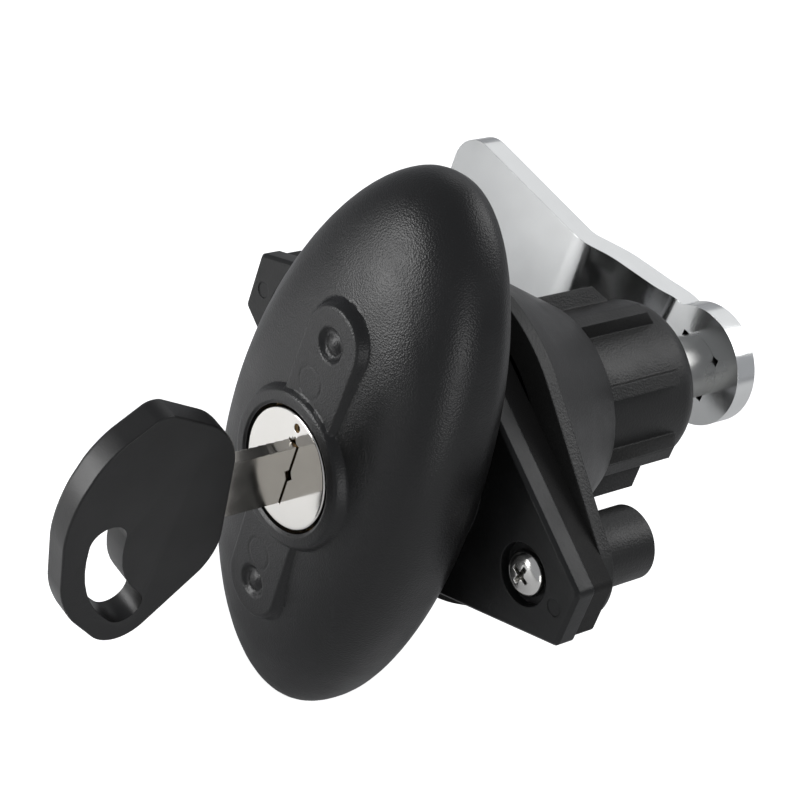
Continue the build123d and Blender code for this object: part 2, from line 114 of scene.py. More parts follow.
softbox("lamp_left", (-0.14, -0.3, 0.03), 0.15, 0.15, 0.5)
softbox("lamp_front", (0.475, -0.125, 0.075), 0.2, 0.2, 0.3)
softbox("lamp_right", (0.11, 0.38, 0.38), 0.3, 0.3, 0.8)
softbox("lamp_back", (-0.35, 0.5, 0.45), 0.6, 0.5, 0.42)

# A pool of light on the floor at the left, which the bright metal faces mirror.
pool_place, pool_watts, pool_angle, pool_blend, pool_lamp_r = (-0.07, -0.085, 0.4), 4.2, 19, 0.6, 0.02
bpy.ops.object.light_add(type="SPOT", location=pool_place)
pool = bpy.context.object
pool.name = "lamp_pool"
pool.data.energy = pool_watts
pool.data.spot_size = math.radians(pool_angle)
pool.data.spot_blend = pool_blend
pool.data.shadow_soft_size = pool_lamp_r
pool.visible_glossy = False

cool_white, pure_white = (0.93, 0.95, 1.0, 1), (1, 1, 1, 1)
sky_strength, mirrored_strength = 0.33, 0.35
world = bpy.data.worlds.new("studio")
scene.world = world
sky = fresh_tree(world)
path = add(sky, "ShaderNodeLightPath")
seen = add(sky, "ShaderNodeMath", operation="MAXIMUM")
sky.links.new(path.outputs["Is Camera Ray"], seen.inputs[0])
sky.links.new(path.outputs["Is Transmission Ray"], seen.inputs[1])
ambient = shining(sky, "ShaderNodeBackground", cool_white, sky_strength)
mirrored = shining(sky, "ShaderNodeBackground", cool_white, mirrored_strength)
white = shining(sky, "ShaderNodeBackground", pure_white, 1.0)
pick_mirror = add(sky, "ShaderNodeMixShader")
pick_white = add(sky, "ShaderNodeMixShader")
out = add(sky, "ShaderNodeOutputWorld")
sky.links.new(path.outputs["Is Glossy Ray"], pick_mirror.inputs[0])
sky.links.new(ambient.outputs[0], pick_mirror.inputs[1])
sky.links.new(mirrored.outputs[0], pick_mirror.inputs[2])
sky.links.new(seen.outputs[0], pick_white.inputs[0])
sky.links.new(pick_mirror.outputs[0], pick_white.inputs[1])
sky.links.new(white.outputs[0], pick_white.inputs[2])
sky.links.new(pick_white.outputs[0], out.inputs[0])

floor_size, floor_gap, floor_colour, floor_glow = 6, 0.5 * mm, (0.8, 0.8, 0.8, 1), 0.82
bpy.ops.object.select_all(action="DESELECT")
bpy.ops.mesh.primitive_plane_add(size=floor_size, location=(0, 0, cad_box[0].z - floor_gap))
floor = bpy.context.object
floor.name = "floor"
floor_paint = bpy.data.materials.new("floor_paint")
tree = fresh_tree(floor_paint)
path = add(tree, "ShaderNodeLightPath")
matt = add(tree, "ShaderNodeBsdfDiffuse")
matt.inputs["Color"].default_value = floor_colour
glow = shining(tree, "ShaderNodeEmission", pure_white, floor_glow)
lift = add(tree, "ShaderNodeAddShader")
pick_white = add(tree, "ShaderNodeMixShader")
out = add(tree, "ShaderNodeOutputMaterial")
tree.links.new(matt.outputs[0], lift.inputs[0])
tree.links.new(glow.outputs[0], lift.inputs[1])
tree.links.new(path.outputs["Is Camera Ray"], pick_white.inputs[0])
tree.links.new(matt.outputs[0], pick_white.inputs[1])
tree.links.new(lift.outputs[0], pick_white.inputs[2])
tree.links.new(pick_white.outputs[0], out.inputs[0])
floor.data.materials.append(floor_paint)
scene.view_settings.view_transform = "Standard"

# ---- Gasket ----------------------------------------------------------------------------
# A sheet of black rubber cut a little inside the flange's outline, pressed between the flange
# and the door skin. Its surface is dull.


def tinted(colour, share):
    """The colour made lighter or darker, with nothing above full."""
    return (*[min(share * part, 1) for part in colour], 1)


def patchy_sheen(tree, patch, shader, low, high):
    """Roughness that drifts between two values over the surface."""
    sheen = add(tree, "ShaderNodeMapRange")
    sheen.inputs["From Min"].default_value = 0.35
    sheen.inputs["From Max"].default_value = 0.65
    sheen.inputs["To Min"].default_value = low
    sheen.inputs["To Max"].default_value = high
    tree.links.new(patch.outputs["Fac"], sheen.inputs["Value"])
    tree.links.new(sheen.outputs["Result"], shader.inputs["Roughness"])


def cloudy(tree, place, size, detail):
    """A soft cloud pattern of a given size."""
    noise = add(tree, "ShaderNodeTexNoise")
    noise.inputs["Scale"].default_value = 1 / size
    noise.inputs["Detail"].default_value = detail
    tree.links.new(place, noise.inputs["Vector"])
    return noise


def raised(tree, height, depth, edge_r, shader):
    """Bumps of a given depth on a surface whose edges look rounded."""
    edges = add(tree, "ShaderNodeBevel", samples=4)
    edges.inputs["Radius"].default_value = edge_r
    relief = add(tree, "ShaderNodeBump")
    relief.inputs["Distance"].default_value = depth
    tree.links.new(height, relief.inputs["Height"])
    tree.links.new(edges.outputs["Normal"], relief.inputs["Normal"])
    tree.links.new(relief.outputs["Normal"], shader.inputs["Normal"])


def moulded(name, colour, grain, depth, rough, gloss, worn, soft_edge):
    """Plastic or rubber: a grain of the mould, patchy sheen and edges rubbed lighter."""
    patch_size, rubbed_from, rubbed_to = 9 * mm, 0.52, 0.62
    material = bpy.data.materials.new(name)
    tree = fresh_tree(material)
    place = add(tree, "ShaderNodeTexCoord")
    shader = add(tree, "ShaderNodeBsdfPrincipled")
    shader.inputs["Specular IOR Level"].default_value = gloss
    out = add(tree, "ShaderNodeOutputMaterial")
    tree.links.new(shader.outputs[0], out.inputs[0])
    pits = add(tree, "ShaderNodeTexVoronoi")
    pits.inputs["Scale"].default_value = 1 / grain
    tree.links.new(place.outputs["Object"], pits.inputs["Vector"])
    patch = cloudy(tree, place.outputs["Object"], patch_size, 4)
    raised(tree, pits.outputs["Distance"], depth, soft_edge, shader)
    patchy_sheen(tree, patch, shader, rough - 0.05, rough + 0.06)
    form = add(tree, "ShaderNodeNewGeometry")
    rub = add(tree, "ShaderNodeMapRange")
    rub.inputs["From Min"].default_value = rubbed_from
    rub.inputs["From Max"].default_value = rubbed_to
    tree.links.new(form.outputs["Pointiness"], rub.inputs["Value"])
    tone = add(tree, "ShaderNodeMix", data_type="RGBA")
    tone.inputs["A"].default_value = tinted(colour, 0.8)
    tone.inputs["B"].default_value = tinted(colour, 1.25)
    tree.links.new(patch.outputs["Fac"], tone.inputs["Factor"])
    wear = add(tree, "ShaderNodeMix", data_type="RGBA")
    wear.inputs["B"].default_value = tinted(colour, worn)
    tree.links.new(rub.outputs["Result"], wear.inputs["Factor"])
    tree.links.new(tone.outputs["Result"], wear.inputs["A"])
    tree.links.new(wear.outputs["Result"], shader.inputs["Base Color"])
    return material


def give(piece, material):
    """The material and no other on a piece."""
    piece.data.materials.clear()
    piece.data.materials.append(material)


give(nodes["gasket"], moulded("gasket_rubber", (0.009, 0.0088, 0.0085), 0.25 * mm, 0.02 * mm,
                              0.6, 0.2, 1.8, 0.1 * mm))

# ---- Rear housing ----------------------------------------------------------------------
# Moulded in dark nylon behind the door skin: a plate, a cone, a barrel with eight ribs and
# two posts that take the screws. The mould was spark eroded, which leaves an even grain.
give(nodes["rear_housing"], moulded("housing_nylon", (0.014, 0.014, 0.0134), 0.35 * mm,
                                    0.03 * mm, 0.42, 0.45, 2.0, 0.35 * mm))

# ---- Front flange ----------------------------------------------------------------------
# The lozenge plate that the user sees round the handle, moulded in satin black nylon with
# two sunk seats for the screws.
give(nodes["front_flange"], moulded("flange_nylon", (0.007, 0.0072, 0.0072), 0.5 * mm,
                                    0.012 * mm, 0.4, 0.35, 2.4, 0.3 * mm))

# ---- Mounting screws -------------------------------------------------------------------
# Two pan head screws with a cross recess, zinc plated. They go through the flange and the
# door skin into the posts of the rear housing. Both are made alike, each cross turned its own way.
screw_steps = [(9.5, 1.0), (8.7, 1.8), (-5.6, 1.8), (-5.6, 3.4), (-5.75, 3.5), (-6.5, 3.48), (-7.1, 3.2),
               (-7.55, 2.6), (-7.75, 1.8), (-7.8, 0.9)]
screw_sides = 64
cross_turns = {-30: 0.5, 30: 0.22}
cross_reach, cross_half, cross_front, cross_floor = 2.1, 0.42, -9, -6.9
cross_split, cross_taper, cross_point = -7.5, (0.45, 1, 0.6), 0.9


def edit(piece):
    """The piece alone is selected and open in edit mode, with nothing in it selected."""
    if bpy.context.object and bpy.context.object.mode == "EDIT":
        bpy.ops.object.mode_set(mode="OBJECT")
    bpy.ops.object.select_all(action="DESELECT")
    piece.select_set(True)
    bpy.context.view_layer.objects.active = piece
    bpy.ops.object.mode_set(mode="EDIT")
    bpy.ops.mesh.select_all(action="DESELECT")


def close_edit():
    """Back to the whole piece."""
    bpy.ops.object.mode_set(mode="OBJECT")


def stack(name, rings, sides):
    """Rings drawn one after another along the lock axis: (place, half width, half height) in mm."""
    rings = [(ring[0], ring[1], ring[-1]) for ring in rings]
    bpy.ops.object.select_all(action="DESELECT")
    bpy.ops.mesh.primitive_circle_add(vertices=sides, radius=1, rotation=(math.pi / 2, 0, 0))
    piece = bpy.context.object
    piece.name = name
    bpy.ops.object.transform_apply(location=True, rotation=True, scale=True)
    edit(piece)
    bpy.ops.mesh.select_all(action="SELECT")
    last, across, along = rings[0]
    bpy.ops.transform.resize(value=(across * mm, 1, along * mm), center_override=(0, 0, 0))
    bpy.ops.transform.translate(value=(0, last * mm, 0))
    for place, next_across, next_along in rings[1:]:
        bpy.ops.mesh.extrude_edges_move(TRANSFORM_OT_translate={"value": (0, (place - last) * mm, 0)})
        bpy.ops.transform.resize(value=(next_across / across, 1, next_along / along),
                                 center_override=(0, place * mm, 0))
        last, across, along = place, next_across, next_along
    close_edit()
    return piece


def cap_ends(piece):
    """Fill both open ends of a stack."""
    edit(piece)
    bpy.ops.mesh.select_mode(type="EDGE")
    bpy.ops.mesh.select_non_manifold()
    bpy.ops.mesh.fill_holes(sides=0)
    close_edit()


def face_out(piece):
    """Merge points that lie together and turn every face outwards."""
    edit(piece)
    bpy.ops.mesh.select_all(action="SELECT")
    bpy.ops.mesh.remove_doubles(threshold=0.00001)
    bpy.ops.mesh.normals_make_consistent(inside=False)
    close_edit()


def bar(name, low, high):
    """A block between two corners, in mm."""
    bpy.ops.object.select_all(action="DESELECT")
    bpy.ops.mesh.primitive_cube_add(size=1)
    piece = bpy.context.object
    piece.name = name
    edit(piece)
    bpy.ops.mesh.select_all(action="SELECT")
    bpy.ops.transform.resize(value=[(b - a) * mm for a, b in zip(low, high)], center_override=(0, 0, 0))
    bpy.ops.transform.translate(value=[(a + b) / 2 * mm for a, b in zip(low, high)])
    close_edit()
    return piece


def combine(piece, tool, how):
    """Cut the tool away, fuse it on or keep what both share. The tool is then gone."""
    bpy.ops.object.select_all(action="DESELECT")
    piece.select_set(True)
    bpy.context.view_layer.objects.active = piece
    step = piece.modifiers.new("step", "BOOLEAN")
    step.operation = how
    step.solver = "EXACT"
    step.object = tool
    bpy.ops.object.modifier_apply(modifier=step.name)
    bpy.data.objects.remove(tool)


def soften(piece, width, steps, angle):
    """Round the edges sharper than an angle in degrees."""
    bpy.ops.object.select_all(action="DESELECT")
    piece.select_set(True)
    bpy.context.view_layer.objects.active = piece
    step = piece.modifiers.new("soften", "BEVEL")
    step.width = width * mm
    step.segments = steps
    step.limit_method = "ANGLE"
    step.angle_limit = math.radians(angle)
    bpy.ops.object.modifier_apply(modifier=step.name)


def finished(piece, body, node, material, angle):
    """Smooth it with its flat faces kept flat, give it its material and hang it on the frame."""
    bpy.ops.object.select_all(action="DESELECT")
    piece.select_set(True)
    bpy.context.view_layer.objects.active = piece
    bpy.ops.object.shade_smooth_by_angle(angle=math.radians(angle))
    even = piece.modifiers.new("even", "WEIGHTED_NORMAL")
    even.keep_sharp = True
    bpy.ops.object.modifier_apply(modifier=even.name)
    give(piece, material)
    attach(piece, body)
    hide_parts(node)


def turned_part(name, steps, sides):
    """A closed round part turned about the lock axis."""
    piece = stack(name, steps, sides)
    cap_ends(piece)
    face_out(piece)
    return piece


def turn_about(piece, angle, centre, axis):
    """Turn a piece about a line through a centre in mm. With no window open the tool turns
    the other way round, so the angle goes in with its sign changed."""
    edit(piece)
    bpy.ops.mesh.select_all(action="SELECT")
    bpy.ops.transform.rotate(value=-angle, orient_axis=axis, center_override=[c * mm for c in centre])
    close_edit()


def move(piece, x, y, z):
    """Shift a piece by so many mm."""
    edit(piece)
    bpy.ops.mesh.select_all(action="SELECT")
    bpy.ops.transform.translate(value=(x * mm, y * mm, z * mm))
    close_edit()


def join(pieces):
    """Several meshes made one piece."""
    bpy.ops.object.select_all(action="DESELECT")
    for piece in pieces:
        piece.select_set(True)
    bpy.context.view_layer.objects.active = pieces[0]
    bpy.ops.object.join()
    return pieces[0]


def plated(name, colour, rough, grain, depth, stretch):
    """Plated metal: fine marks, drawn out along one way, and a cloudy sheen."""
    cloud_size, edge_r, finest_polish = 6 * mm, 0.12 * mm, 0.02
    material = bpy.data.materials.new(name)
    tree = fresh_tree(material)
    place = add(tree, "ShaderNodeTexCoord")
    shader = add(tree, "ShaderNodeBsdfPrincipled")
    shader.inputs["Metallic"].default_value = 1.0
    out = add(tree, "ShaderNodeOutputMaterial")
    tree.links.new(shader.outputs[0], out.inputs[0])
    lay = add(tree, "ShaderNodeMapping")
    lay.inputs["Scale"].default_value = stretch
    tree.links.new(place.outputs["Object"], lay.inputs["Vector"])
    marks = cloudy(tree, lay.outputs["Vector"], grain, 3)
    cloud = cloudy(tree, place.outputs["Object"], cloud_size, 5)
    raised(tree, marks.outputs["Fac"], depth, edge_r, shader)
    patchy_sheen(tree, cloud, shader, max(rough - 0.04, finest_polish), rough + 0.05)
    tone = add(tree, "ShaderNodeMix", data_type="RGBA")
    tone.inputs["A"].default_value = tinted(colour, 0.9)
    tone.inputs["B"].default_value = tinted(colour, 1.06)
    tree.links.new(cloud.outputs["Fac"], tone.inputs["Factor"])
    tree.links.new(tone.outputs["Result"], shader.inputs["Base Color"])
    return material


bright_zinc = plated("bright_zinc", (0.78, 0.77, 0.74), 0.16, 0.4 * mm, 0.004 * mm, (1, 1, 1))
screws = []
for across, turned_by in cross_turns.items():
    screw = turned_part("screw", screw_steps, screw_sides)
    for quarter in (0, math.pi / 2):
        slot = bar("cross", (-cross_reach, cross_front, -cross_half),
                   (cross_reach, cross_floor, cross_half))
        edit(slot)
        bpy.ops.mesh.select_all(action="DESELECT")
        deep = bmesh.from_edit_mesh(slot.data)
        for vert in deep.verts:
            vert.select = vert.co.y > cross_split * mm
        deep.select_flush(True)
        bpy.ops.transform.resize(value=cross_taper, center_override=(0, 0, 0))
        bpy.ops.transform.translate(value=(0, cross_point * mm, 0))
        close_edit()
        turn_about(slot, quarter + turned_by, (0, 0, 0), "Y")
        combine(screw, slot, "DIFFERENCE")
    soften(screw, 0.1, 2, 40)
    move(screw, across, 0, 0)
    screws.append(screw)
finished(join(screws), "base", "mounting_screws", bright_zinc, 35)
screws[0].name = "mounting_screw_pair"

# ---- Spindle, bushes and seal ----------------------------------------------------------
# The die cast spindle carries the handle in front and the cam behind, and turns in two plain
# bushes. A rubber ring, a washer and a spring clip sit on it inside the housing.
cast_zinc = plated("cast_zinc", (0.42, 0.42, 0.41), 0.3, 0.5 * mm, 0.01 * mm, (1, 1, 1))
steel = plated("spring_steel", (0.4, 0.4, 0.41), 0.3, 0.3 * mm, 0.004 * mm, (1, 1, 1))
bush_nylon = moulded("bush_nylon", (0.03, 0.03, 0.03), 0.4 * mm, 0.01 * mm,
                     0.42, 0.35, 1.6, 0.15 * mm)
give(nodes["spindle"], cast_zinc)
give(nodes["spindle_circlip"], steel)
give(nodes["thrust_washer"], steel)
give(nodes["front_bush"], bush_nylon)
give(nodes["rear_bush"], bush_nylon)
give(nodes["spindle_seal"], moulded("seal_rubber", (0.014, 0.014, 0.014), 0.2 * mm, 0.006 * mm,
                                    0.55, 0.3, 1.4, 0.05 * mm))

# ---- Handle ----------------------------------------------------------------------------
# A hollow egg, squarer across than along, moulded in black nylon with a fine spark grain.
# Raised pads with dimples and a collar round the lock are part of the moulding, and four
# screws from behind hold it on the spindle.
half_across, half_along = 22.2, 47.7
across_power, along_power = 3.25, 2.33
wide_place, crown_place, back_place = -13.8, -27.3, -10.7
crown_wall, side_wall = 2.3, 2.45
bore_r, neck_r, tube_r = 9.95, 9.5, 12.05
bore_step, neck_ends, tube_end, tube_foot = -25.4, (-27.9, -28.2), -13.55, (0.3, 0.6)
handle_sides = 480


def level(height, across, along):
    """Half sizes of the egg's outline at a height between its widest plane (0) and crown (1)."""
    return (across * (1 - height ** across_power) ** (1 / across_power),
            along * (1 - height ** along_power) ** (1 / along_power))


def egg(x, z):
    """Height of the egg above a point, found by halving the range."""
    low, high = 0.0, 0.9999
    for _ in range(26):
        middle = (low + high) / 2
        across, along = level(middle, half_across, half_along)
        if (x / across) ** 2 + (z / along) ** 2 > 1:
            high = middle
        else:
            low = middle
    return wide_place + (crown_place - wide_place) * low


def nearer(a, b, blend):
    """The one further forward of two faces, rounded into each other where they cross."""
    share = max(blend - abs(a - b), 0) / blend
    return min(a, b) - share * share * blend / 4


def eased(distance, radius):
    """Zero before an edge and the distance past it, with a round between."""
    return radius * math.log1p(math.exp(min(distance / radius, 30)))


face_blend = 0.3
pad_place, pad_half, pad_slope, pad_reach, pad_fall, pad_edge = -27.8, 5.6, 2.6, 22.3, 0.35, 0.1
collar_place, collar_inner, collar_top, collar_edge = -28.55, 9.6, 11.7, 0.16
collar_rise, collar_slope = 0.08, 2.6
lip_r, lip_slope, lip_edge = 9.85, 1.3, 0.1
dimple_r, dimple_deep, dimple_reach, dimple_blend = 2.6, 0.85, 0.5, 0.12
bump_r, bump_high = 2.1, 0.75
ring_mark_r, ring_mark_deep, ring_mark_width = 2.4, 0.09, 0.16
ring_marks = ((-1.25, 14.7), (-0.3, -17.0))


def front_face(x, z):
    """Front of the handle: egg, pads, dimples, ring marks and collar."""
    face = egg(x, z)
    past = math.hypot(x, max(abs(z) - pad_reach, 0)) - pad_half
    pad = pad_place + pad_fall * (z / pad_reach) ** 2 + pad_slope * eased(past, pad_edge)
    face = nearer(face, pad, face_blend)
    middle = math.hypot(x, abs(z) - pad_reach)
    if middle < dimple_r + dimple_reach:
        dish = pad_place + pad_fall + dimple_deep * (1 - (middle / dimple_r) ** 4)
        face = -nearer(-face, -dish, dimple_blend)
    if middle < bump_r:
        bump = bump_high * (1 - (middle / bump_r) ** 2) ** 1.5
        face = min(face, pad_place + pad_fall + dimple_deep - bump)
    for mark_x, mark_z in ring_marks:
        ring = math.hypot(x - mark_x, z - mark_z) - ring_mark_r
        face += ring_mark_deep * math.exp(-(ring / ring_mark_width) ** 2)
    radius = math.hypot(x, z)
    collar = (collar_place + collar_rise * (radius - collar_inner)
              + collar_slope * eased(radius - collar_top, collar_edge))
    lip = collar_place + lip_slope * eased(lip_r - radius, lip_edge)
    return nearer(face, max(collar, lip), face_blend)


# The rings run up the bore, over the front face, round the rim and back inside. Those of the
# front face lie flat at first and are raised to its form afterwards.
face_start, face_top, face_rings, side_rings, inner_rings, inner_step = 9.62, 0.72, 92, 12, 9, 0.1
rings = [(tube_end, bore_r), (bore_step, bore_r), (bore_step, neck_r)]
rings += [(place, neck_r) for place in neck_ends]
outer_across, outer_along = level(face_top, half_across, half_along)
for number in range(face_rings):
    share = number / face_rings
    rings.append((crown_place, face_start + (outer_across - face_start) * share,
                  face_start + (outer_along - face_start) * share))
for number in range(side_rings + 1):
    height = face_top * (1 - number / side_rings)
    across, along = level(height, half_across, half_along)
    rings.append((wide_place + (crown_place - wide_place) * height, across, along))
rim_tucks = ((-13.1, 0.08), (-12.4, 0.3), (-11.7, 0.62), (-11.1, 0.95), (-10.85, 1.12),
             (back_place, 1.4), (back_place, 2.9), (-10.95, 3.05), (-12.0, 2.6),
             (wide_place, side_wall))
for place, tuck in rim_tucks:
    rings.append((place, half_across - tuck, half_along - tuck))
roof_place = crown_place + crown_wall
for number in range(1, inner_rings + 1):
    height = inner_step * number
    across, along = level(height, half_across - side_wall, half_along - side_wall)
    rings.append((wide_place + (roof_place - wide_place) * height, across, along))
rings += [(roof_place, tube_r + tube_foot[1]), (roof_place + tube_foot[0], tube_r), (tube_end, tube_r)]
handle = stack("handle", rings, handle_sides)
edit(handle)
bpy.ops.mesh.select_mode(type="EDGE")
bpy.ops.mesh.select_non_manifold()
bpy.ops.mesh.bridge_edge_loops()
close_edit()
for vert in handle.data.vertices:
    if abs(vert.co.y - crown_place * mm) < 0.001 * mm:
        vert.co.y = front_face(vert.co.x / mm, vert.co.z / mm) * mm
face_out(handle)
boss_across, boss_along, boss_r, boss_root = 8, 9.8, 2.7, crown_place + 1.3
boss_hole_r, boss_hole_deep, boss_hole_over = 1.45, 7, 1
for x in (-boss_across, boss_across):
    for z in (-boss_along, boss_along):
        boss = turned_part("boss", [(tube_end, boss_r), (boss_root, boss_r)], 32)
        move(boss, x, 0, z)
        combine(handle, boss, "UNION")
        hole = turned_part("hole", [(tube_end + boss_hole_over, boss_hole_r),
                                    (tube_end - boss_hole_deep, boss_hole_r)], 24)
        move(hole, x, 0, z)
        combine(handle, hole, "DIFFERENCE")
handle_nylon = moulded("handle_nylon", (0.006, 0.006, 0.0061), 0.28 * mm, 0.034 * mm,
                       0.35, 0.5, 1.8, 0.02 * mm)
finished(handle, "handle", "handle_shell", handle_nylon, 40)
give(nodes["handle_screws"], steel)

# ---- Lock cylinder ---------------------------------------------------------------------
# A brass plug with wafers turns in a brass sleeve. A pressed cap, bright nickel plated, covers
# its face and has the keyway and a small release hole. The plug moves a steel slider, which
# locks the handle to the flange.
# The brass is painted far darker than its own colour. This is painted shade, since the plug shows only
# down the keyway, where it lies in shade.
brass = plated("shade_darkened_brass", (0.26, 0.17, 0.08), 0.36, 0.25 * mm, 0.004 * mm, (1, 4, 1))
nickel = plated("bright_nickel", (0.88, 0.86, 0.82), 0.09, 0.3 * mm, 0.0012 * mm, (1, 1, 1))
for name in ("cylinder_housing", "lock_plug", "wafers"):
    give(nodes[name], brass)
for name in ("plug_clip", "lock_slider"):
    give(nodes[name], steel)
face_steps = [(-27.85, 0.02), (-27.85, 8.65), (-26.15, 8.65), (-26.15, 9.0), (-27.9, 9.0), (-28.05, 8.97),
              (-28.15, 8.9), (-28.2, 8.78), (-28.205, 8.5), (-28.205, 0.02)]
keyway_low, keyway_high, keyway_half = -5.8, 5.0, 1.2
ward_z, ward_half, ward_depth, ward_sink = -0.5, 1.0, 0.65, 0.1
point_reach, point_half = 0.5, 0.7
# Two diamonds widen the slot: the ward's at its side and a point at its top.
# Each is (across, height, half width, half height).
notches = ((keyway_half - ward_sink, ward_z, ward_depth + ward_sink, ward_half),
           (0, keyway_high, point_reach, point_half))
release_r, release_x, release_z = 0.66, -0.3, 7.3
cut_front, cut_back = -29, -27
face = turned_part("lock_face", face_steps, 128)
slot = bar("slot", (-keyway_half, cut_front, keyway_low), (keyway_half, cut_back, keyway_high))
combine(face, slot, "DIFFERENCE")
for x, z, half_wide, half_high in notches:
    bpy.ops.object.select_all(action="DESELECT")
    bpy.ops.mesh.primitive_cylinder_add(vertices=4, radius=mm, depth=(cut_back - cut_front) * mm,
                                        location=(0, (cut_front + cut_back) / 2 * mm, 0),
                                        rotation=(math.pi / 2, 0, 0))
    notch = bpy.context.object
    bpy.ops.object.transform_apply(location=True, rotation=True, scale=True)
    edit(notch)
    bpy.ops.mesh.select_all(action="SELECT")
    bpy.ops.transform.resize(value=(half_wide, 1, half_high), center_override=(0, 0, 0))
    bpy.ops.transform.translate(value=(x * mm, 0, z * mm))
    close_edit()
    combine(face, notch, "DIFFERENCE")
release = turned_part("release", [(cut_front, release_r), (cut_back, release_r)], 24)
move(release, release_x, 0, release_z)
combine(face, release, "DIFFERENCE")
soften(face, 0.05, 2, 50)
finished(face, "plug", "plug_face", nickel, 35)

# ---- Key -------------------------------------------------------------------------------
# A flat nickel plated blade with cuts milled across its upper edge, moulded into a black
# plastic bow. The bow's curved hole takes a key ring.
blade_low, blade_high, blade_left, blade_right = -5.7, 4.85, -1.1, 0.96
blade_start, blade_end = -49.1, -15.6
cut_count, cut_pitch, cut_deep, cut_slant = 42, 0.75, 0.13, 0.25
blade = bar("key_blade_piece", (blade_left, blade_start, blade_low), (blade_right, blade_end, blade_high))
edit(blade)
for number in range(1, cut_count):
    bpy.ops.mesh.select_all(action="SELECT")
    place = blade_start + number * cut_pitch
    bpy.ops.mesh.bisect(plane_co=(0, place * mm, 0), plane_no=(cut_slant * (-1) ** (number % 2), 1, 0))
shape = bmesh.from_edit_mesh(blade.data)
for vert in shape.verts:
    number = (vert.co.y / mm - blade_start) / cut_pitch
    inner_cut = 0.5 < number < cut_count - 0.5
    vert.select = vert.co.z > (blade_high - 0.01) * mm and inner_cut and round(number) % 2 == 0
shape.select_flush(True)
bpy.ops.transform.translate(value=(0, 0, -cut_deep * mm))
close_edit()
soften(blade, 0.06, 2, 50)
finished(blade, "key", "key_blade",
         plated("key_plating", (0.68, 0.65, 0.6), 0.14, 0.35 * mm, 0.003 * mm, (1, 0.2, 1)), 35)

bow_front = -38.1
bow_corners = [(-16.2, 18.4, 3.0), (-2.6, 11.8, 10.8), (0.2, -11.7, 8.2), (-14.1, -26.3, 5.9),
               (-25.2, -14.6, 15.0), (-28.1, 2.4, 19.0), (-23.9, 12.6, 12.0)]
hole_start, hole_pull, hole_end, hole_steps = (-20.1, -3.4), (-20.3, -11.9), (-14.2, -17.2), 8
hole_r, hole_reach = 2.9, 5
bow_near, bow_far = 2.2, -2.1
bow_rounds = ((bow_near, 0.3), (bow_far, 0.9))
pocket_gap, pocket_side_gap, pocket_deep_gap, pocket_end = 0.02, 0.04, 0.05, -30


def outline(name, corners, steps):
    """A flat face across X, its corners rounded one by one: (along Y, height, radius) in mm."""
    bpy.ops.object.select_all(action="DESELECT")
    bpy.ops.mesh.primitive_circle_add(vertices=len(corners), radius=1, fill_type="NGON")
    piece = bpy.context.object
    piece.name = name
    for vert, (along, height, _) in zip(piece.data.vertices, corners):
        vert.co = (0, along * mm, height * mm)
    points = [Vector((along, height)) for along, height, _ in corners]
    for number, (along, height, radius) in enumerate(corners):
        if not radius:
            continue
        before, after = points[number - 1], points[(number + 1) % len(points)]
        half_angle = (before - points[number]).angle(after - points[number]) / 2
        edit(piece)
        bpy.ops.mesh.select_mode(type="VERT")
        shape = bmesh.from_edit_mesh(piece.data)
        corner = min(shape.verts, key=lambda v: (v.co / mm - Vector((0, along, height))).length)
        corner.select = True
        shape.select_flush(True)
        bpy.ops.mesh.bevel(offset=radius / math.tan(half_angle) * mm, affect="VERTICES", segments=steps,
                           profile=0.5, clamp_overlap=False)
        close_edit()
    return piece


def thicken(piece, low, high, axis):
    """Pull a flat face out into a plate between two places on an axis."""
    edit(piece)
    bpy.ops.mesh.select_all(action="SELECT")
    along = Vector([1.0 if axis == letter else 0.0 for letter in "XYZ"])
    bpy.ops.transform.translate(value=along * low * mm)
    bpy.ops.mesh.extrude_region_move(TRANSFORM_OT_translate={"value": along * (high - low) * mm})
    close_edit()
    face_out(piece)


bow_outline = [(bow_front + along, height, radius) for along, height, radius in bow_corners]
bow = outline("key_bow_piece", bow_outline, 14)
thicken(bow, bow_far, bow_near, "X")
for x, width in bow_rounds:
    edit(bow)
    bpy.ops.mesh.select_mode(type="EDGE")
    shape = bmesh.from_edit_mesh(bow.data)
    for edge in shape.edges:
        level_with = all(abs(v.co.x - x * mm) < 0.01 * mm for v in edge.verts)
        edge.select = level_with and len(edge.link_faces) == 2 and edge.calc_face_angle() > 1
    shape.select_flush(False)
    bpy.ops.mesh.bevel(offset=width * mm, affect="EDGES", segments=5, profile=0.5)
    close_edit()
last = None
for number in range(hole_steps + 1):
    share = number / hole_steps
    place = (Vector(hole_start) * (1 - share) ** 2 + Vector(hole_pull) * 2 * share * (1 - share)
             + Vector(hole_end) * share ** 2)
    hole = turned_part("ring_hole", [(-hole_reach, hole_r), (hole_reach, hole_r)], 48)
    turn_about(hole, math.pi / 2, (0, 0, 0), "Z")
    move(hole, 0, bow_front + place.x, place.y)
    combine(bow, hole, "DIFFERENCE")
    if last:
        step, middle = place - last, (place + last) / 2
        link = bar("link", (-hole_reach, -step.length / 2, -hole_r), (hole_reach, step.length / 2, hole_r))
        turn_about(link, math.atan2(step.y, step.x), (0, 0, 0), "X")
        move(link, 0, bow_front + middle.x, middle.y)
        combine(bow, link, "DIFFERENCE")
    last = place
pocket = bar("pocket", (blade_left - pocket_gap, blade_start - pocket_deep_gap, blade_low - pocket_gap),
             (blade_right + pocket_side_gap, pocket_end, blade_high + pocket_gap))
combine(bow, pocket, "DIFFERENCE")
bow_plastic = moulded("bow_plastic", (0.007, 0.0068, 0.0066), 0.3 * mm, 0.008 * mm,
                      0.4, 0.5, 2.6, 0.12 * mm)
finished(bow, "key", "key_bow", bow_plastic, 35)

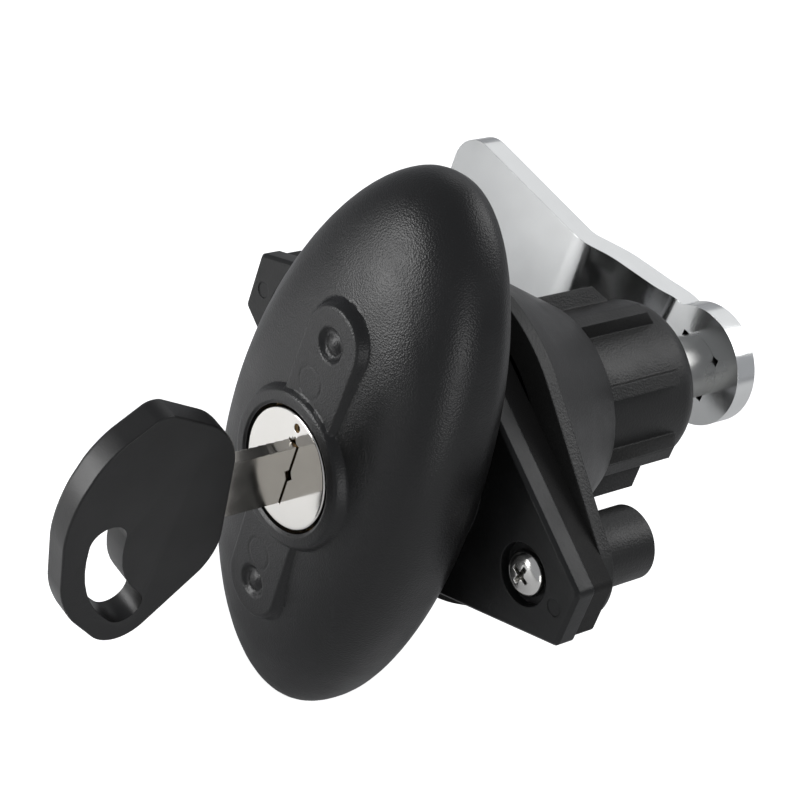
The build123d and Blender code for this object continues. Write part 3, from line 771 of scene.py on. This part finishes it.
# ---- Cam -------------------------------------------------------------------------------
# A steel strap 4 mm thick, stamped, bent forward in a joggle and bright zinc plated. A screw
# with two washers holds its square hole on the spindle's square end.
cam_front, cam_thick, cam_drop = 54.6, 4.0, 8.9
joggle_start, joggle_angle, bend_r, bend_steps = 9.1, math.radians(30), 6.0, 10
hub_r, square_half, blank_half = 10.0, 4.25, 12
strap_near, strap_far = 11.0, -58.5
punch_front, punch_back, punch_over = 35, 65, 0.1
square_front, square_back = 50, 62
strap_side = [(0, 7.6, 0), (-11.0, 7.6, 14), (-19.0, 9.3, 14), (-50.0, 10.4, 0), (-56.5, 10.4, 6.0)]
middle = cam_front + cam_thick / 2
run = cam_drop / math.tan(joggle_angle)
corners = [(strap_near, middle), (-joggle_start, middle), (-joggle_start - run, middle - cam_drop),
           (strap_far, middle - cam_drop)]
# The strap's middle line, with an arc at each of the two bends.
line = [Vector(corners[0])]
for number, turn in ((1, 1), (2, -1)):
    here = Vector(corners[number])
    way = (here - Vector(corners[number - 1])).normalized()
    start = here - way * bend_r * math.tan(joggle_angle / 2)
    centre = start + turn * bend_r * Vector((-way.y, way.x))
    arm = start - centre
    for step in range(bend_steps + 1):
        swing = turn * joggle_angle * step / bend_steps
        line.append(centre + Vector((arm.x * math.cos(swing) - arm.y * math.sin(swing),
                                     arm.x * math.sin(swing) + arm.y * math.cos(swing))))
line.append(Vector(corners[3]))
bpy.ops.object.select_all(action="DESELECT")
bpy.ops.mesh.primitive_plane_add(size=1)
cam = bpy.context.object
cam.name = "cam_piece"
for vert in cam.data.vertices:
    place = line[0] if vert.co.x < 0 else line[1]
    vert.co = (place[0] * mm, place[1] * mm, (blank_half if vert.co.y > 0 else -blank_half) * mm)
edit(cam)
bpy.ops.mesh.select_mode(type="EDGE")
shape = bmesh.from_edit_mesh(cam.data)
for edge in shape.edges:
    edge.select = all(abs(v.co.x - line[1][0] * mm) < 0.001 * mm for v in edge.verts)
shape.select_flush(False)
for before, after in zip(line[1:], line[2:]):
    step = (after[0] - before[0], after[1] - before[1])
    bpy.ops.mesh.extrude_edges_move(TRANSFORM_OT_translate={"value": (step[0] * mm, step[1] * mm, 0)})
close_edit()
face_out(cam)
bpy.ops.object.select_all(action="DESELECT")
cam.select_set(True)
bpy.context.view_layer.objects.active = cam
wall = cam.modifiers.new("wall", "SOLIDIFY")
wall.thickness = cam_thick * mm
wall.offset = 0
wall.use_even_offset = True
bpy.ops.object.modifier_apply(modifier=wall.name)
face_out(cam)
strap_outline = strap_side + [(x, -z, radius) for x, z, radius in reversed(strap_side)]
shape_tool = outline("strap_outline", strap_outline, 10)
turn_about(shape_tool, -math.pi / 2, (0, 0, 0), "Z")
thicken(shape_tool, punch_front, punch_back, "Y")
hub_tool = turned_part("hub_outline", [(punch_front - punch_over, hub_r),
                                       (punch_back + punch_over, hub_r)], 128)
combine(shape_tool, hub_tool, "UNION")
combine(cam, shape_tool, "INTERSECT")
square = bar("square", (-square_half, square_front, -square_half), (square_half, square_back, square_half))
combine(cam, square, "DIFFERENCE")
soften(cam, 0.25, 3, 45)
cam_zinc = plated("cam_plating", (0.9, 0.91, 0.9), 0.15, 0.8 * mm, 0.006 * mm, (1, 1, 0.4))
finished(cam, "handle", "cam", cam_zinc, 35)
washer_plating = plated("washer_plating", (0.62, 0.62, 0.62), 0.24, 0.4 * mm, 0.004 * mm, (1, 1, 1))
give(nodes["cam_washer"], washer_plating)
give(nodes["lock_washer"], steel)
give(nodes["cam_screw"], bright_zinc)
